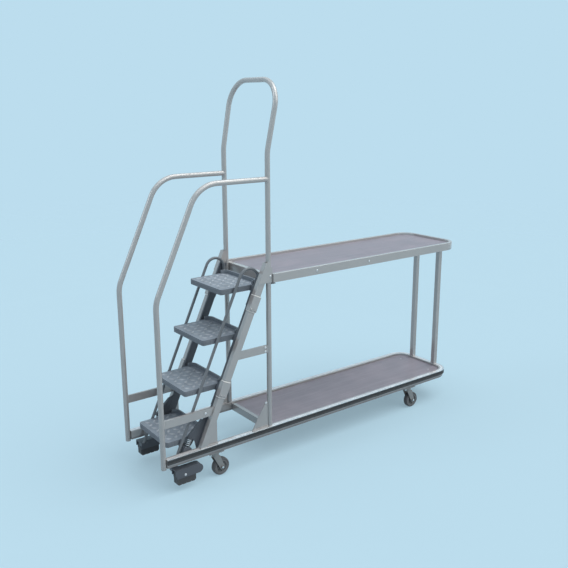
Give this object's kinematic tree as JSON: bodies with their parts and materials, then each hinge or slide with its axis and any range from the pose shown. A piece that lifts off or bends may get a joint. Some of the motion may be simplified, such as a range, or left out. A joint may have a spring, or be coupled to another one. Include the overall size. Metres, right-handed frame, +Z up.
{
  "type": "order picking trolley",
  "caption": "Long wheeled picking trolley with a deck, an upper shelf, a push hoop and a sprung step ladder between handrails that lowers its feet to the floor.",
  "frame": {"origin": "on the floor under the middle of the trolley's length and width", "axes": "+X along the trolley from the ladder to the round end of the deck, +Y across it, +Z up"},
  "size_m": [2.192, 0.479, 2.094],
  "materials": {
    "frame_paint": "satin silver-grey",
    "deck_panel": "dark film-faced board",
    "bumper_rubber": "matt black",
    "bright_edge": "bright",
    "black_paint": "satin black",
    "tread_plastic": "moulded slate grey",
    "rod_steel": "satin",
    "liner_nylon": "natural white",
    "spring_steel": "bright",
    "zinc_plate": "bright zinc",
    "wheel_plastic": "light grey",
    "wheel_rubber": "grey",
    "pad_rubber": "matt black",
    "bolt_steel": "bright"
  },
  "bodies": {
    "frame": {"deck_rail": "frame_paint", "bumper_lip": "bright_edge", "bumper_strip": "bumper_rubber", "deck_board": "deck_panel", "deck_front_member": "frame_paint", "under_deck_joists": "frame_paint", "push_hoop": "frame_paint", "rail_gussets": "frame_paint", "corner_plates": "frame_paint", "shelf_frame": "frame_paint", "shelf_board": "deck_panel", "caster_plates": "zinc_plate", "frame_bolts": "bolt_steel", "handrail_near": "frame_paint", "brace_near": "frame_paint", "tie_bar_near": "frame_paint", "stringer_near": "frame_paint", "rear_post_near": "frame_paint", "spring_cup_near": "black_paint", "handrail_far": "frame_paint", "brace_far": "frame_paint", "tie_bar_far": "frame_paint", "stringer_far": "frame_paint", "rear_post_far": "frame_paint", "spring_cup_far": "black_paint"},
    "ladder": {"ladder_stringer_near": "black_paint", "ladder_rod_near": "rod_steel", "guide_sleeves_near": "frame_paint", "spring_plate_near": "black_paint", "ladder_spring_near": "spring_steel", "foot_shoe_near": "black_paint", "foot_pad_near": "pad_rubber", "ladder_stringer_far": "black_paint", "ladder_rod_far": "rod_steel", "guide_sleeves_far": "frame_paint", "spring_plate_far": "black_paint", "ladder_spring_far": "spring_steel", "foot_shoe_far": "black_paint", "foot_pad_far": "pad_rubber", "tread_1": "tread_plastic", "tread_2": "tread_plastic", "tread_3": "tread_plastic", "tread_4": "tread_plastic", "tread_brackets": "black_paint", "sleeve_liners": "liner_nylon", "ladder_bolts": "bolt_steel"},
    "fork_front_near": {"caster_fork_front_near": "zinc_plate"},
    "wheel_front_near": {"caster_wheel_front_near": "wheel_plastic", "caster_tyre_front_near": "wheel_rubber"},
    "fork_front_far": {"caster_fork_front_far": "zinc_plate"},
    "wheel_front_far": {"caster_wheel_front_far": "wheel_plastic", "caster_tyre_front_far": "wheel_rubber"},
    "fork_rear_near": {"caster_fork_rear_near": "zinc_plate"},
    "wheel_rear_near": {"caster_wheel_rear_near": "wheel_plastic", "caster_tyre_rear_near": "wheel_rubber"},
    "fork_rear_far": {"caster_fork_rear_far": "zinc_plate"},
    "wheel_rear_far": {"caster_wheel_rear_far": "wheel_plastic", "caster_tyre_rear_far": "wheel_rubber"}
  },
  "joints": [
    {"name": "ladder_slide", "type": "slide", "parent": "frame", "child": "ladder", "axis": [-0.4184, 0, -0.9083], "range_m": [0, 0.04], "stiffness_N_per_m": 8000, "springref_m": -0.04, "deforming": ["ladder_spring_near", "ladder_spring_far"]},
    {"name": "swivel_front_near", "type": "hinge", "parent": "frame", "child": "fork_front_near", "pos_m": [-0.77, -0.192, 0.13], "axis": [0, 0, 1], "continuous": true},
    {"name": "spin_front_near", "type": "hinge", "parent": "fork_front_near", "child": "wheel_front_near", "pos_m": [-0.734, -0.192, 0.05], "axis": [0, 1, 0], "continuous": true},
    {"name": "swivel_front_far", "type": "hinge", "parent": "frame", "child": "fork_front_far", "pos_m": [-0.77, 0.192, 0.13], "axis": [0, 0, 1], "continuous": true},
    {"name": "spin_front_far", "type": "hinge", "parent": "fork_front_far", "child": "wheel_front_far", "pos_m": [-0.734, 0.192, 0.05], "axis": [0, 1, 0], "continuous": true},
    {"name": "swivel_rear_near", "type": "hinge", "parent": "frame", "child": "fork_rear_near", "pos_m": [0.715, -0.192, 0.13], "axis": [0, 0, 1], "continuous": true},
    {"name": "spin_rear_near", "type": "hinge", "parent": "fork_rear_near", "child": "wheel_rear_near", "pos_m": [0.751, -0.192, 0.05], "axis": [0, 1, 0], "continuous": true},
    {"name": "swivel_rear_far", "type": "hinge", "parent": "frame", "child": "fork_rear_far", "pos_m": [0.715, 0.192, 0.13], "axis": [0, 0, 1], "continuous": true},
    {"name": "spin_rear_far", "type": "hinge", "parent": "fork_rear_far", "child": "wheel_rear_far", "pos_m": [0.751, 0.192, 0.05], "axis": [0, 1, 0], "continuous": true}
  ]
}
